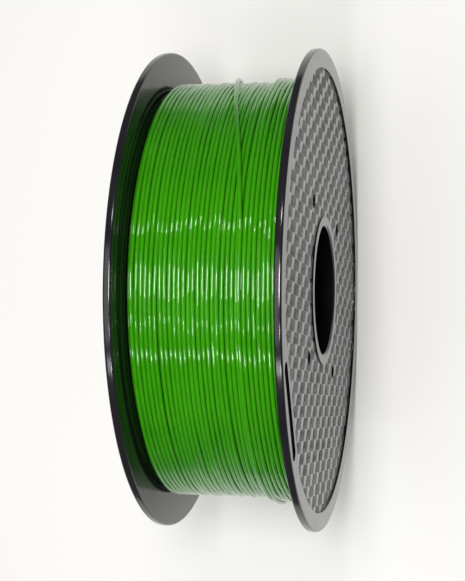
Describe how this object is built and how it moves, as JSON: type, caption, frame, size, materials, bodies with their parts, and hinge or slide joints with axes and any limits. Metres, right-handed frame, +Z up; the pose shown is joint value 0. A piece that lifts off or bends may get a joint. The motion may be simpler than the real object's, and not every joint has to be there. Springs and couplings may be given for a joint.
{
  "type": "filament spool",
  "caption": "Reel of round printing filament wound on a drum between two rimmed flanges, with an open centre bore to hang it on a spindle.",
  "frame": {"origin": "on the spool's axis, half way between the outer faces of its two flanges", "axes": "+X along the spool's axis, out of the right flange; +Z up, with the spool standing on its two rims"},
  "size_m": [0.0656, 0.2, 0.2],
  "materials": {
    "spool_plastic": "injection-moulded black plastic: glossy rims, satin basket-weave relief on the outer faces",
    "filament": "extruded glossy leaf-green thermoplastic strand, slightly translucent at its edges"
  },
  "bodies": {
    "root": {"flange_right": "spool_plastic", "flange_left": "spool_plastic", "drum_sleeve": "spool_plastic", "filament_inner_layers": "filament", "filament_last_full_layer": "filament", "filament_part_layer": "filament", "filament_free_end": "filament"}
  },
  "joints": []
}
